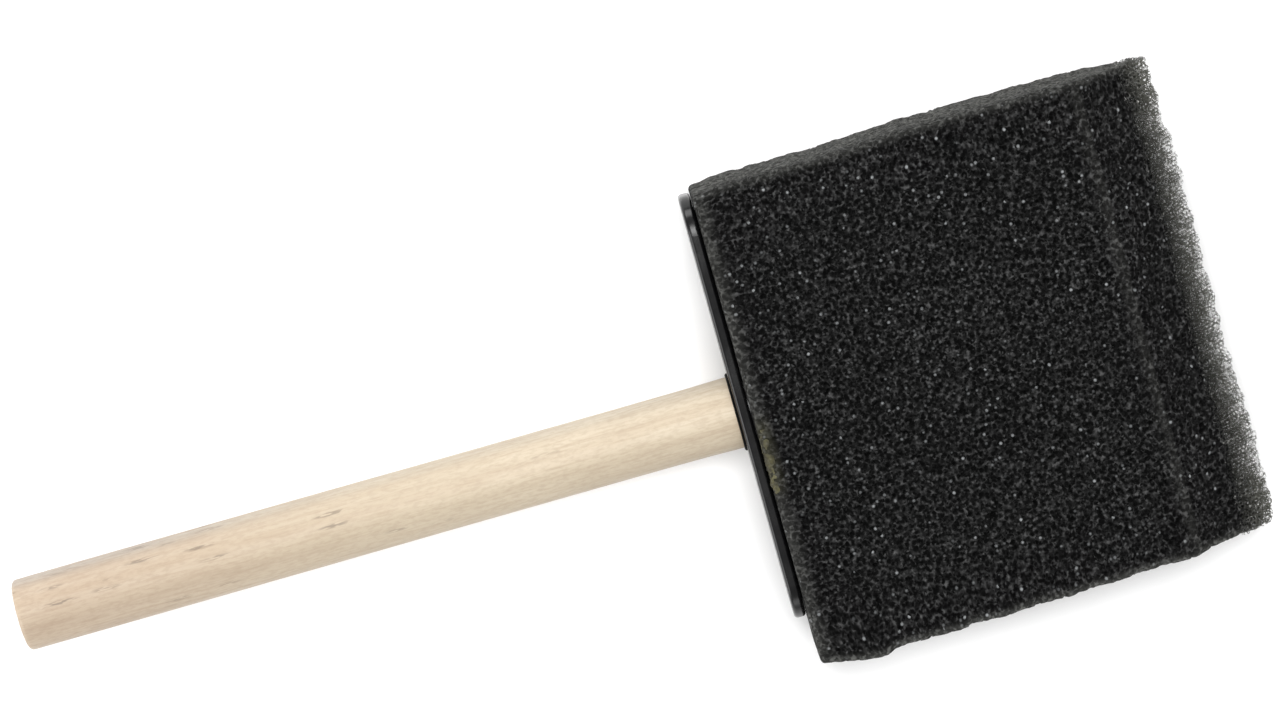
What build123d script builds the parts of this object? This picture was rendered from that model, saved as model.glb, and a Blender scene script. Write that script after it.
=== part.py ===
from build123d import *
import os

# A foam sponge brush lying on the broad face of its head. All sizes are in millimetres.
# +X runs along the handle towards the foam's tip, +Y across the head and +Z up through its thickness.
# The origin is on the surface that the brush lies on, under the middle of its overall box.

# --- Driving sizes: the foam head ---
foam_width = 76.2  # across the brush: a 3 inch head
foam_length = 74.0  # from the back face to the tip
foam_thickness = 20.0
bevel_length = 12.3  # how far the two chisel bevels reach back from the tip
tip_thickness = 1.0  # the blunt edge that the bevels leave
foam_edge_radius = 1.2  # soft rounding of the back face's upper and lower edges
foam_offset = 1.9  # the handle's axis stands this far from the foam's middle, towards +Y

# --- Driving sizes: the wooden handle ---
dowel_diameter = 11.5
handle_exposed = 117.5  # from the butt to the flange
dowel_inserted = 24.0  # from the flange's rear face to the socket's floor
butt_radius = 0.8
lead_chamfer = 0.8  # on the end that enters the socket
dowel_squeeze = 0.2  # the tight socket presses the wood in by this much, all round
squeeze_length = 1.0  # taper from the bare wood down to the pressed length

# --- Driving sizes: the moulded core ---
dowel_clearance = 0.05  # between the dowel and its socket, all round
socket_wall = 1.5
socket_floor = 1.5
nose_length = 10.0  # taper from the socket down to the blade
nose_tip_diameter = 4.0
collar_wall = 0.5  # low lip round the socket's mouth
collar_height = 0.4
collar_edge_radius = 0.3
flange_width = 69.4
flange_thickness = 1.9
flange_offset = 0.7  # the moulding's middle stands this far from the socket's axis, towards +Y
flange_lip = 0.35  # how far the flange stands above and below the socket
flange_corner_radius = 6.0
flange_edge_radius = 0.6
blade_length = 50.0  # from the flange's front face
blade_root_width = 64.0
blade_tip_width = 58.0
blade_root_thickness = 2.8
blade_tip_thickness = 1.6
blade_corner_radius = 5.0
window_length = 8.0  # the openings through the blade, along the handle
window_width = 8.5
window_bar = 3.5  # plastic left between two windows
window_margin = 4.5  # plastic left along the blade's outline and beside the socket
window_corner_radius = 1.5

# --- Driving sizes: the adhesive ---
glue_thickness = 0.2  # film between the core and the foam
foam_gap = 0.5  # between the flange's front face and the foam's back face
bead_length = 12.0  # squeezed-out adhesive beside the handle
bead_start = 2.4  # from the handle's axis, towards -Y
bead_skin = 0.3  # its thickness over the foam's rounded edge
bead_depth = 3.0  # how far it fills the gap down from the foam's edge rounding

# --- Places that follow from the sizes ---
overall_length = handle_exposed + flange_thickness + foam_gap + foam_length
x_butt = -overall_length / 2
x_flange = x_butt + handle_exposed
x_mouth = x_flange - collar_height
x_front = x_flange + flange_thickness
x_foam = x_front + foam_gap
x_tip = x_foam + foam_length
x_ridge = x_tip - bevel_length
x_seat = x_flange + dowel_inserted
x_socket_end = x_seat + socket_floor
axis_y = foam_offset
core_y = axis_y + flange_offset
axis_z = foam_thickness / 2

dowel_radius = dowel_diameter / 2
pressed_radius = dowel_radius - dowel_squeeze
mouth_radius = dowel_radius + dowel_clearance
bore_radius = pressed_radius + dowel_clearance
socket_radius = bore_radius + socket_wall
flange_height = 2 * (socket_radius + flange_lip)


def across_handle(x, y):
    """The plane at right angles to the handle at x, centred on y, with its own x to +Y and y to +Z."""
    return Plane(origin=(x, y, axis_z), x_dir=(0, 1, 0), z_dir=(1, 0, 0))


def rod(x_start, x_end, radius):
    """A round bar on the handle's axis."""
    return extrude(across_handle(x_start, axis_y) * Circle(radius), amount=x_end - x_start)


def stepped_rod(x_start, x_end, radius, end_radius):
    """A round bar that tapers from radius to end_radius just inside the socket's mouth."""
    narrow = rod(x_mouth + squeeze_length, x_end, end_radius)
    sections = [
        across_handle(x_mouth, axis_y) * Circle(radius),
        across_handle(x_mouth + squeeze_length, axis_y) * Circle(end_radius),
    ]
    taper = loft(sections) + narrow
    return rod(x_start, x_mouth, radius) + taper if x_start < x_mouth else taper


def across_head(profile, width, middle_y):
    """A profile in X and Z, drawn about the foam's lower face, spread over a width in Y."""
    plane = Plane(origin=(0, middle_y, 0), x_dir=(1, 0, 0), z_dir=(0, -1, 0))
    return extrude(plane * profile, amount=width / 2, both=True)


def handle_dowel():
    """The birch dowel: rounded at the butt, pressed a little thinner in the socket, chamfered there."""
    bar = stepped_rod(x_butt, x_seat, dowel_radius, pressed_radius)
    ends = bar.edges().filter_by(GeomType.CIRCLE).sort_by(Axis.X)
    bar = fillet(ends[0], butt_radius)
    ends = bar.edges().filter_by(GeomType.CIRCLE).sort_by(Axis.X)
    return chamfer(ends[-1], lead_chamfer)


def blade(grow):
    """The flat blade inside the foam, thinner and narrower towards its tip, grown all round."""
    root = blade_root_thickness / 2 + grow
    tip = blade_tip_thickness / 2 + grow
    end = x_front + blade_length + grow
    side = make_face(
        Polyline(
            (x_front, axis_z - root),
            (end, axis_z - tip),
            (end, axis_z + tip),
            (x_front, axis_z + root),
            close=True,
        )
    )
    half_root = blade_root_width / 2 + grow
    half_tip = blade_tip_width / 2 + grow
    plan = make_face(
        Polyline(
            (x_front, -half_root),
            (end, -half_tip),
            (end, half_tip),
            (x_front, half_root),
            close=True,
        )
    )
    plan = fillet(plan.vertices().group_by(Axis.X)[-1], blade_corner_radius + grow)
    plan = Pos(0, core_y, 0) * plan
    return across_head(side, blade_root_width + 2 * grow, core_y) & extrude(plan, amount=foam_thickness)


def spine(grow):
    """The socket's outside and the nose that tapers from it down to the blade, grown all round."""
    nose_radii = (socket_radius + grow, nose_tip_diameter / 2 + grow)
    sections = [
        across_handle(x_socket_end, axis_y) * Circle(nose_radii[0]),
        across_handle(x_socket_end + nose_length + grow, axis_y) * Circle(nose_radii[1]),
    ]
    return rod(x_front, x_socket_end, socket_radius + grow) + loft(sections)


def blade_windows():
    """Openings through the blade, in rows along the handle and columns on each side of the socket."""
    pitch_x = window_length + window_bar
    pitch_y = window_width + window_bar
    rows = int((blade_length - 2 * window_margin + window_bar) // pitch_x)
    room_y = blade_tip_width / 2 - flange_offset - socket_radius - 2 * window_margin
    columns = int((room_y + window_bar) // pitch_y)
    cutters = []
    for row in range(rows):
        x = x_front + window_margin + window_length / 2 + row * pitch_x
        for column in range(columns):
            reach = socket_radius + window_margin + window_width / 2 + column * pitch_y
            for side in (-1, 1):
                opening = RectangleRounded(window_length, window_width, window_corner_radius)
                cutters.append(Pos(x, axis_y + side * reach, 0) * extrude(opening, amount=foam_thickness))
    return cutters


def core_insert():
    """One black moulding: flange, low collar, socket for the dowel, nose and windowed blade."""
    outline = RectangleRounded(flange_width, flange_height, flange_corner_radius)
    flange = extrude(across_handle(x_flange, core_y) * outline, amount=flange_thickness)
    faces = flange.faces().sort_by(Axis.X)
    flange = fillet(faces[0].edges() + faces[-1].edges(), flange_edge_radius)
    collar = rod(x_mouth, x_front, mouth_radius + collar_wall)
    collar = fillet(collar.edges().filter_by(GeomType.CIRCLE).sort_by(Axis.X)[0], collar_edge_radius)
    bore = stepped_rod(x_mouth, x_seat, mouth_radius, bore_radius)
    windowed = blade(0) - blade_windows()
    return flange + collar + spine(0) + windowed - bore


def foam_block():
    """The foam's outside: a flat block whose tip is cut to a chisel by two bevels."""
    profile = make_face(
        Polyline(
            (x_foam, 0),
            (x_ridge, 0),
            (x_tip, axis_z - tip_thickness / 2),
            (x_tip, axis_z + tip_thickness / 2),
            (x_ridge, foam_thickness),
            (x_foam, foam_thickness),
            close=True,
        )
    )
    block = across_head(profile, foam_width, 0)
    back = block.faces().sort_by(Axis.X)[0]
    return fillet(back.edges().filter_by(Axis.Y), foam_edge_radius)


def foam_pocket():
    """What is cut from the foam for the core and its adhesive."""
    return blade(glue_thickness) + spine(glue_thickness)


def glue_film(pocket, upper):
    """The adhesive between the core and one half of the slit foam."""
    room = Pos((x_foam + x_tip) / 2, 0, axis_z) * Box(foam_length, foam_width, foam_thickness)
    half = Pos(0, 0, foam_thickness / 2 if upper else -foam_thickness / 2) * room
    return (pocket & half) - blade(0) - spine(0)


def glue_squeeze_out():
    """Adhesive in the gap beside the handle, smeared over the foam's rounded upper edge."""
    bend = Pos(x_foam + foam_edge_radius, foam_thickness - foam_edge_radius)
    skin = bend * (Circle(foam_edge_radius + bead_skin) - Circle(foam_edge_radius))
    corner = Pos(x_foam, foam_thickness) * Rectangle(2 * foam_edge_radius, 2 * foam_edge_radius)
    filling = Pos(x_front, foam_thickness - foam_edge_radius) * Rectangle(
        foam_gap, bead_depth, align=(Align.MIN, Align.MAX)
    )
    middle_y = axis_y - bead_start - bead_length / 2
    return across_head((skin & corner) + filling, bead_length, middle_y) - spine(0)


pocket = foam_pocket()
nodes = {
    "handle_dowel": handle_dowel(),
    "core_insert": core_insert(),
    "foam_head": foam_block() - pocket,
    "glue_film_upper": glue_film(pocket, True),
    "glue_film_lower": glue_film(pocket, False),
    "glue_squeeze_out": glue_squeeze_out(),
}

os.makedirs("parts", exist_ok=True)
for name, solid in nodes.items():
    export_step(solid, f"parts/{name}.step")
    print(name, solid.bounding_box().min, solid.bounding_box().max)
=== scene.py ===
# %% [markdown]
# # A foam sponge brush
#
# The real object is a throw-away paint brush: a block of charcoal open-cell foam, cut to a chisel at
# its tip, glued over a black moulding, on a bare birch dowel. The construction comes from the packed
# model as a fixed frame. This lesson gives each piece its finish, and grows the foam cell by cell.
# Every length is in metres, in the frame's own axes: +X along the handle towards the foam's tip,
# +Y across the head, +Z up.

# %% Load the frame
import functools
import math

import bmesh
import bpy
import numpy as np
from mathutils import Euler, Matrix, Vector, noise


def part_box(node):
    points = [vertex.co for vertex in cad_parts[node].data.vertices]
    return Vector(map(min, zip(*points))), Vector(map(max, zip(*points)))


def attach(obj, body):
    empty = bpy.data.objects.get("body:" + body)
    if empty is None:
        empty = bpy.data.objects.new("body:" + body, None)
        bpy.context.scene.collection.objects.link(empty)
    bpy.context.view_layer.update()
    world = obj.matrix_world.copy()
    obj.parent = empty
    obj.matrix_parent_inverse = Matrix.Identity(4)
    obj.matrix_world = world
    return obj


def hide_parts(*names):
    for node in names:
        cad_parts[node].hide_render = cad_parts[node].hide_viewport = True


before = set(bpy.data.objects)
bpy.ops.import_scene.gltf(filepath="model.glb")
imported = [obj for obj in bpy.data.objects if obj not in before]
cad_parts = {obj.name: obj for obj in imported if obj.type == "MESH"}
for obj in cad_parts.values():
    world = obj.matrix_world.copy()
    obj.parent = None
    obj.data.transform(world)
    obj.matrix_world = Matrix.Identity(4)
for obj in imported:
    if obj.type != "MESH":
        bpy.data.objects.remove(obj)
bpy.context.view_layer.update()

MM = 0.001


def in_mm(lengths):
    """Lengths in millimetres, to print."""
    return [round(length / MM, 1) for length in lengths]


# %% [markdown]
# The places that later cells need are read from the frame, so that a change of size in the model
# carries through.

# %% Read the places of the pieces
foam_low, foam_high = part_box("foam_head")
foam_size = foam_high - foam_low
foam_middle = (foam_low + foam_high) / 2
handle_low, handle_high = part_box("handle_dowel")
handle_radius = (handle_high.z - handle_low.z) / 2
handle_axis = (handle_low + handle_high) / 2
core_low, core_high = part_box("core_insert")
print("foam size, mm:", in_mm(foam_size))
print("handle radius, mm:", round(handle_radius / MM, 2))

# %% [markdown]
# Every shape here is drawn with bmesh and then becomes an object's mesh. These helpers do the steps
# that come back each time.

# %% Helpers for meshes and objects
def put(name, data):
    """A new object in the scene."""
    thing = bpy.data.objects.new(name, data)
    bpy.context.scene.collection.objects.link(thing)
    return thing


def mesh_from(build, name):
    """What was drawn, as a mesh. The drawing is freed."""
    mesh = bpy.data.meshes.new(name)
    build.to_mesh(mesh)
    build.free()
    return mesh


def pull(build, operator, vector, **what):
    """Extrudes part of a drawing and moves the new points by vector."""
    pulled = operator(build, **what)["geom"]
    moved = [item for item in pulled if isinstance(item, bmesh.types.BMVert)]
    bmesh.ops.translate(build, verts=moved, vec=vector)


def bevel(build, chosen, offset, **how):
    """Cuts back the chosen edges or corners."""
    bmesh.ops.bevel(build, geom=chosen, offset=offset, profile=0.5, material=-1, **how)


def face_outward(build):
    """Turns all faces of a drawing outward."""
    bmesh.ops.recalc_face_normals(build, faces=build.faces[:])


def read(items, key, width=3, kind=np.float32):
    """One value of each of a mesh's items, with a row for each item."""
    values = np.empty(len(items) * width, kind)
    items.foreach_get(key, values)
    return values.reshape(-1, width)


def ease(value, low, high):
    """0 at low, 1 at high, smooth between and level beyond them."""
    share = np.clip((value - low) / (high - low), 0, 1)
    return share * share * (3 - 2 * share)


def evaluated(holder):
    """A holder object's mesh with its modifiers applied. The holder is removed."""
    depsgraph = bpy.context.evaluated_depsgraph_get()
    mesh = bpy.data.meshes.new_from_object(holder.evaluated_get(depsgraph))
    bpy.data.objects.remove(holder)
    return mesh


def paint_with(mesh, paint):
    """Gives a mesh one material and no other."""
    mesh.materials.clear()
    mesh.materials.append(paint)


def finish_mesh(name, mesh, paint):
    """An object for a finished mesh, riding on the brush's one body."""
    piece = put(name, mesh)
    paint_with(mesh, paint)
    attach(piece, "root")
    return piece


print("mesh helpers ready")

# %% [markdown]
# Materials and geometry nodes are small node trees. A link knows which tree it belongs to, so most
# helpers need no tree: they add their node beside the links that they are given. An effect that
# several finishes share is a node group with named inputs and outputs, built once.

# %% Helpers for node trees
def plug(node, **inputs):
    """Sets a node's inputs, each to a number, a colour or a link. i0 is the first input, and so on."""
    for key, value in inputs.items():
        numbered = key[0] == "i" and key[1:].isdigit()
        socket = node.inputs[int(key[1:]) if numbered else key.replace("_", " ")]
        if isinstance(value, bpy.types.NodeSocket):
            node.id_data.links.new(value, socket)
        else:
            socket.default_value = value
    return node


def add(tree, kind, settings=None, **inputs):
    """Adds a node with its properties and inputs."""
    node = tree.nodes.new(kind)
    for key, value in (settings or {}).items():
        setattr(node, key, value)
    return plug(node, **inputs)


def made(kind, settings=None, output=0, **inputs):
    """One output of a new node, in the tree of the first link among its inputs."""
    tree = next(value.id_data for value in inputs.values() if isinstance(value, bpy.types.NodeSocket))
    return add(tree, kind, settings, **inputs).outputs[output]


def maths(operation, *values):
    """A Math node's result."""
    inputs = {f"i{place}": value for place, value in enumerate(values)}
    return made("ShaderNodeMath", {"operation": operation}, **inputs)


def chained(operation, first, *others):
    """Values joined one after another by the same Math operation."""
    for value in others:
        first = maths(operation, first, value)
    return first


plus = functools.partial(chained, "ADD")
minus = functools.partial(chained, "SUBTRACT")
times = functools.partial(chained, "MULTIPLY")
power = functools.partial(chained, "POWER")
largest = functools.partial(chained, "MAXIMUM")
smallest = functools.partial(chained, "MINIMUM")
size_of = functools.partial(maths, "ABSOLUTE")


def distance(*sides):
    """How long the hypotenuse is."""
    return maths("SQRT", plus(*[times(side, side) for side in sides]))


def ramp(value, low, high, to_low=0.0, to_high=1.0):
    """value, eased from to_low at low to to_high at high."""
    settings = {"interpolation_type": "SMOOTHSTEP"}
    return made("ShaderNodeMapRange", settings, i0=value, i1=low, i2=high, i3=to_low, i4=to_high)


def fade(value, start, low, high, to_low=0.0, to_high=1.0):
    """A ramp between two places that are given in millimetres from start."""
    return ramp(value, start + low * MM, start + high * MM, to_low, to_high)


def vector_maths(operation, first, second):
    """A Vector Math node's result. For SCALE, second is a number."""
    inputs = {"i0": first, "Scale" if operation == "SCALE" else "i1": second}
    return made("ShaderNodeVectorMath", {"operation": operation}, **inputs)


def stretched(place, shares):
    """place with each axis scaled, so that a pattern gets longer where the share is small."""
    return vector_maths("MULTIPLY", place, shares)


def parts(vector):
    """A vector's, or a colour's, three numbers."""
    return add(vector.id_data, "ShaderNodeSeparateXYZ", i0=vector).outputs


def vector_of(x, y=0.0, z=0.0):
    """A vector from its three numbers."""
    return made("ShaderNodeCombineXYZ", i0=x, i1=y, i2=z)


def clouds(place, scale, detail, roughness=0.5, output=0):
    """A noise texture's tone, or its colour."""
    inputs = {"Vector": place, "Scale": scale, "Detail": detail, "Roughness": roughness}
    return made("ShaderNodeTexNoise", None, output, **inputs)


def cells(place, scale, randomness=1.0):
    """A Voronoi texture's outputs: the distance to the nearest cell's middle and that cell's colour."""
    inputs = {"Vector": place, "Scale": scale, "Randomness": randomness}
    return add(place.id_data, "ShaderNodeTexVoronoi", {"feature": "F1"}, **inputs).outputs


def bumped(height, strength, depth):
    """The surface's direction, as if it were raised by height times depth."""
    return made("ShaderNodeBump", Height=height, Strength=strength, Distance=depth)


def stored(tree, name):
    """A vector that was stored on the points under a name."""
    return add(tree, "ShaderNodeAttribute", {"attribute_name": name}).outputs["Vector"]


def object_place(tree):
    """Where a point is on the object."""
    return add(tree, "ShaderNodeTexCoord").outputs["Object"]


def grey(level):
    """A colour with no hue."""
    return (level, level, level)


def blend(share, first, second, mode="MIX"):
    """first where share is 0, second where it is 1. Each is a colour or a link to one."""
    inputs = {"i0": share, "i6": first, "i7": second}
    for key in ("i6", "i7"):
        if not isinstance(inputs[key], bpy.types.NodeSocket):
            inputs[key] = (*inputs[key], 1)
    return made("ShaderNodeMix", {"data_type": "RGBA", "blend_type": mode}, 2, **inputs)


def coats(tone, *layers, mode="MIX"):
    """tone under one coat of colour after another. A layer is a share and a colour."""
    for share, colour in layers:
        tone = blend(share, tone, colour, mode)
    return tone


def material(name):
    """A material with its tree and its Principled shader."""
    paint = bpy.data.materials.new(name)
    paint.use_nodes = True
    return paint, paint.node_tree, paint.node_tree.nodes["Principled BSDF"]


def group(name, inputs=("Geometry",), outputs=("Geometry",), kind="Geometry"):
    """A node group, the links from its inputs and its output node. inputs may hold default numbers."""
    tree = bpy.data.node_groups.new(name, f"{kind}NodeTree")
    special = {"Place": "NodeSocketVector", "Geometry": "NodeSocketGeometry"}
    for way, labels in (("INPUT", inputs), ("OUTPUT", outputs)):
        for label in labels:
            settings = {"in_out": way, "socket_type": special.get(label, "NodeSocketFloat")}
            socket = tree.interface.new_socket(label, **settings)
            if way == "INPUT" and label not in special:
                socket.default_value = inputs[label]
    return tree, tree.nodes.new("NodeGroupInput").outputs, tree.nodes.new("NodeGroupOutput")


def use(shared, place, **values):
    """The outputs of a shared group, placed in a material with its own values."""
    return add(place.id_data, "ShaderNodeGroup", {"node_tree": shared}, Place=place, **values).outputs


print("node helpers ready")

# %% [markdown]
# The brush lies on a pale floor and is seen from almost straight above, through a long lens, with the
# handle rising gently to the right. The camera leans a little to +Y, so that the foam's far side
# shows as a thin lit band. Its own axes, which are right, up and backwards, follow from the view
# direction and a roll.

# %% Camera
VIEW = Vector((-0.0056, -0.132, -0.9912)).normalized()
ROLL = math.radians(-15.77)
FOCAL_MM = 154.7
SENSOR_MM = 36
NEAREST = 0.05  # nothing closer to the camera than this is drawn
CAMERA_PLACE = Vector((12.85, 128.2, 867.7)) * MM

level = Vector((math.cos(ROLL), math.sin(ROLL), 0))
right = (level - VIEW * level.dot(VIEW)).normalized()
up = (-VIEW).cross(right)
lens = bpy.data.cameras.new("camera")
lens.lens = FOCAL_MM
lens.sensor_width = SENSOR_MM
lens.clip_start = NEAREST
camera = put("camera", lens)
axes = Matrix((right, up, -VIEW)).transposed().to_4x4()
camera.matrix_world = Matrix.Translation(CAMERA_PLACE) @ axes
bpy.context.scene.camera = camera
bpy.context.scene.view_settings.view_transform = "Standard"
print("camera to foam, m:", round((CAMERA_PLACE - foam_middle).length, 3))

# %% [markdown]
# The light is a soft studio: a white room all round and a wide lamp close above the camera's line, so
# that what little shadow there is hides behind the object. A lower lamp from +Y lights the foam's far
# side and a weaker one from -Y fills what that leaves dark. One from the handle's end draws the bright
# rim on the flange, and a weak strip beyond the tip sends light through the foam's thin end.

# %% Floor, room light and lamps
FLOOR_SIDE = 4.0
FLOOR_TONE = 0.95
FLOOR_ROUGHNESS = 0.9
ROOM_LIGHT = 0.45
LAMPS = (  # name, place, what it faces, width, height and watts
    ("lamp_overhead", (0.08, 0.20, 0.75), foam_middle, 0.4, 0.28, 4.4),
    ("lamp_far_side", (0.0, 0.75, 0.28), foam_middle, 0.9, 0.3, 4.0),
    ("lamp_near_side", (0.0, -0.7, 0.35), foam_middle, 0.9, 0.3, 2.0),
    ("lamp_handle_end", (-0.6, -0.1, 0.3), foam_middle, 0.5, 0.5, 3.2),
    ("lamp_beyond_tip", (0.45, 0.0, 0.05), foam_high, 0.4, 0.1, 0.5),
)


def soft_lamp(name, place, target, width, height, watts):
    """A rectangular lamp at place that faces target."""
    data = bpy.data.lights.new(name, "AREA")
    data.shape = "RECTANGLE"
    data.size, data.size_y, data.energy = width, height, watts
    aim = (Vector(target) - Vector(place)).to_track_quat("-Z", "Y")
    put(name, data).matrix_world = Matrix.Translation(place) @ aim.to_matrix().to_4x4()


sheet = bmesh.new()
bmesh.ops.create_grid(sheet, x_segments=1, y_segments=1, size=FLOOR_SIDE / 2)
floor = put("floor", mesh_from(sheet, "floor"))
floor_paint, tree, shader = material("floor_paint")
plug(shader, Base_Color=(*grey(FLOOR_TONE), 1), Roughness=FLOOR_ROUGHNESS)
paint_with(floor.data, floor_paint)
room = bpy.data.worlds.new("room")
bpy.context.scene.world = room
room.use_nodes = True
plug(room.node_tree.nodes["Background"], Color=(1, 1, 1, 1), Strength=ROOM_LIGHT)
for lamp in LAMPS:
    soft_lamp(*lamp)
print("lamps:", [lamp[0] for lamp in LAMPS])

# %% [markdown]
# **Mottle** is the uneven tone that every real surface has: broad patches with finer ones in them. The
# wood, the plastic and the adhesive all use it, each at its own size, so it is one shared group.

# %% Shared effect: mottle
FINER = 7.0  # how much smaller the fine patches are
mottle_inputs = {"Place": None, "Patch Size": 0.01, "Stretch": 1.0, "Contrast": 1.0}
mottle, given, result = group("mottle", mottle_inputs, ("Tone", "Fine"), "Shader")
place = stretched(given["Place"], vector_of(given["Stretch"], 1.0, 1.0))
scale = maths("DIVIDE", 1.0, given["Patch Size"])
broad = clouds(place, scale, 3.0, 0.55)
fine = clouds(place, times(scale, FINER), 2.0)
plug(result, Tone=plus(times(minus(broad, 0.5), given["Contrast"]), 0.5), Fine=fine)
print("group:", mottle.name)

# %% [markdown]
# **The handle** is a birch dowel, turned and left bare. Birch is pale and close-grained: fine fibres
# run along it, with soft bands where the growth rings surface and dark flecks that come in broken
# dashes, most of them where a ring grazes the surface near the butt. The cut end shows the rings
# themselves. All of it is one solid pattern in Object coordinates, as it is in real wood, so side and
# end agree where they meet.

# %% Bare birch: its rings, fibres and flecks
RING_STEP = 2.6 * MM  # from one growth ring to the next
PITH_Y = handle_axis.y + 9 * MM  # the middle of the tree lies well outside the dowel
PITH_Z = handle_axis.z - 14 * MM
WANDER = 3.0 * MM  # how far the rings stray from true circles
butt_x, axis_y = handle_low.x, handle_axis.y
birch, tree, shader = material("bare_birch")
here = object_place(tree)
x, y, _ = parts(here)
from_pith = vector_maths("ADD", here, (0.0, -PITH_Y, -PITH_Z))
strayed = vector_maths("SCALE", clouds(from_pith, 22.0, 1.0, output="Color"), WANDER)
_, across_y, across_z = parts(vector_maths("ADD", from_pith, strayed))
rings = ramp(maths("SINE", times(distance(across_y, across_z), 2 * math.pi / RING_STEP)), -0.2, 1.0)

along = stretched(here, (0.06, 1.0, 1.0))
fibre = clouds(along, 2600.0, 3.0, 0.6)
strand = clouds(along, 700.0, 2.0)
grain = clouds(stretched(here, (0.35, 1.0, 1.0)), 2200.0, 2.0, 0.6)
dashes = clouds(stretched(here, (0.16, 1.0, 1.0)), 3600.0, 1.0)
fleck_cells = cells(stretched(here, (0.14, 1.0, 1.0)), 800.0)
near_butt = fade(x, butt_x, 30, 50, 1.0, 0.0)
grazed = times(near_butt, fade(y, axis_y, 0, 1.5))
chosen = ramp(plus(parts(fleck_cells["Color"])[0], times(grazed, 0.45)), 0.78, 0.94)
fleck = times(ramp(fleck_cells["Distance"], 0.42, 0.14), chosen, ramp(dashes, 0.42, 0.56))
print("rings across the handle:", round(2 * handle_radius / RING_STEP, 1))

# %% [markdown]
# The wood's own tone has broad patches, and each of those patterns lies on it as a thin darker coat.
# Three multiplied tones follow. Hands and dust have made the wood rosy towards the butt. The -Y side is
# a shade darker, which is painted shade, and the +Y edge, most of all near the butt, gets painted shade
# with a cool tint of reflected light.

# %% Material: bare birch
patches = use(mottle, here, Patch_Size=0.018, Stretch=0.45, Contrast=1.3)
tone = coats(
    blend(ramp(patches["Tone"], 0.25, 0.75), (0.466, 0.389, 0.285), (0.530, 0.453, 0.339)),
    (times(rings, 0.30), (0.44, 0.345, 0.240)),
    (ramp(strand, 0.45, 0.75, 0.0, 0.45), (0.41, 0.325, 0.235)),
    (ramp(fibre, 0.45, 0.72, 0.0, 0.35), (0.36, 0.275, 0.190)),
    (ramp(grain, 0.40, 0.68, 0.0, 0.40), (0.37, 0.290, 0.205)),
    (times(fleck, 0.7), (0.18, 0.14, 0.10)),
)
held = fade(x, butt_x, 0, 70, 1.0, 0.0)
# painted shade: the -Y side of the handle is a shade darker
painted_low_side_shade = fade(y, axis_y, -3.5, 2, 1.0, 0.0)
# painted shade with a cool tint of reflected light on the +Y edge, strongest near the butt
painted_edge_shade = times(fade(y, axis_y, 3.6, 5.2), ramp(held, 0, 1, 0.4, 1.0))
stains_and_painted_shade = ((held, (0.86, 0.805, 0.795)), (painted_low_side_shade, (0.875, 0.87, 0.86)), (painted_edge_shade, (0.80, 0.86, 0.96)))
tone = coats(tone, *stains_and_painted_shade, mode="MULTIPLY")
relief = plus(times(fibre, 0.6), times(strand, 0.4))
plug(
    shader, Base_Color=tone, Roughness=ramp(fibre, 0.3, 0.7, 0.46, 0.62), Specular_IOR_Level=0.55,
    Normal=bumped(relief, 0.35, 0.12 * MM),
)
print("material:", birch.name)

# %% [markdown]
# The dowel is spun from half of its outline: the middle of the butt, the eased corner as a short arc,
# the long side and the end in the socket, where the wood is pressed thinner. Merging the doubles closes
# both poles. A dowel from a sander is never quite true: it swells by a few hundredths of a millimetre,
# is a tenth slimmer towards the socket, and was glued in leaning by half a millimetre at the butt, which
# is a touch rough from the saw.

# %% Piece: the handle
SIDES = 112
EASED_EDGE = 0.8 * MM
EASING_STEPS = 5
BUTT_RINGS = 5
STATIONS = 120
PRESSED = 0.2 * MM  # how much the tight socket presses the wood in
PRESS_LENGTH = 1.0 * MM  # the taper just inside the socket's mouth
SWELL = 0.03 * MM
SLIMMER = 0.1 * MM
LEAN = 0.55 * MM  # how far the butt stands towards -Y
SAW_MARKS = 0.04 * MM
mouth = core_low.x - handle_low.x  # how far the socket's mouth is from the butt


def spin_dowel():
    """The dowel about its own axis, from the butt at x = 0 to its seat in the socket."""
    length = handle_high.x - handle_low.x
    build = bmesh.new()
    flat = handle_radius - EASED_EDGE
    outline = [(0.0, step / BUTT_RINGS * flat) for step in range(BUTT_RINGS + 1)]
    for step in range(1, EASING_STEPS + 1):
        turn = step / EASING_STEPS * math.pi / 2
        outline.append((EASED_EDGE * (1 - math.cos(turn)), handle_radius - EASED_EDGE * (1 - math.sin(turn))))
    bare = mouth - EASED_EDGE
    outline += [(EASED_EDGE + bare * step / STATIONS, handle_radius) for step in range(1, STATIONS + 1)]
    inner_radius = handle_radius - PRESSED
    outline += [(outline[-1][0] + PRESS_LENGTH, inner_radius), (length - EASED_EDGE, inner_radius)]
    outline += [(length, inner_radius - EASED_EDGE), (length, 0.0)]
    points = [build.verts.new((x, 0, r)) for x, r in outline]
    edges = [build.edges.new(pair) for pair in zip(points, points[1:])]
    bmesh.ops.spin(
        build, geom=points + edges, cent=(0, 0, 0), axis=(1, 0, 0), angle=2 * math.pi,
        steps=SIDES, use_merge=True, dvec=(0, 0, 0), space=Matrix.Identity(4),
    )
    bmesh.ops.remove_doubles(build, verts=build.verts[:], dist=0.002 * MM)
    face_outward(build)
    return build


def roughen_dowel(build):
    """A faint swell along the wood, its slimmer stretch and its lean, and saw marks on the butt."""
    for vertex in build.verts:
        place = vertex.co.copy()
        swell = noise.noise(Vector((place.x * 45, place.y * 120, place.z * 120)))
        outward = Vector((0, place.y, place.z))
        if outward.length > handle_radius / 2:
            slim = ease(place.x, mouth - 90 * MM, mouth - 40 * MM) * ease(place.x, mouth, mouth - 8 * MM)
            vertex.co += outward.normalized() * ((swell - 0.5) * SWELL - slim * SLIMMER)
        if place.x < EASED_EDGE / 2:
            saw = noise.noise(Vector((0, place.y * 900, place.z * 2600)))
            vertex.co.x += (saw + 1) * SAW_MARKS
        away = max(0.0, 1 - place.x / mouth)
        vertex.co.y -= LEAN * away ** 1.3


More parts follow.
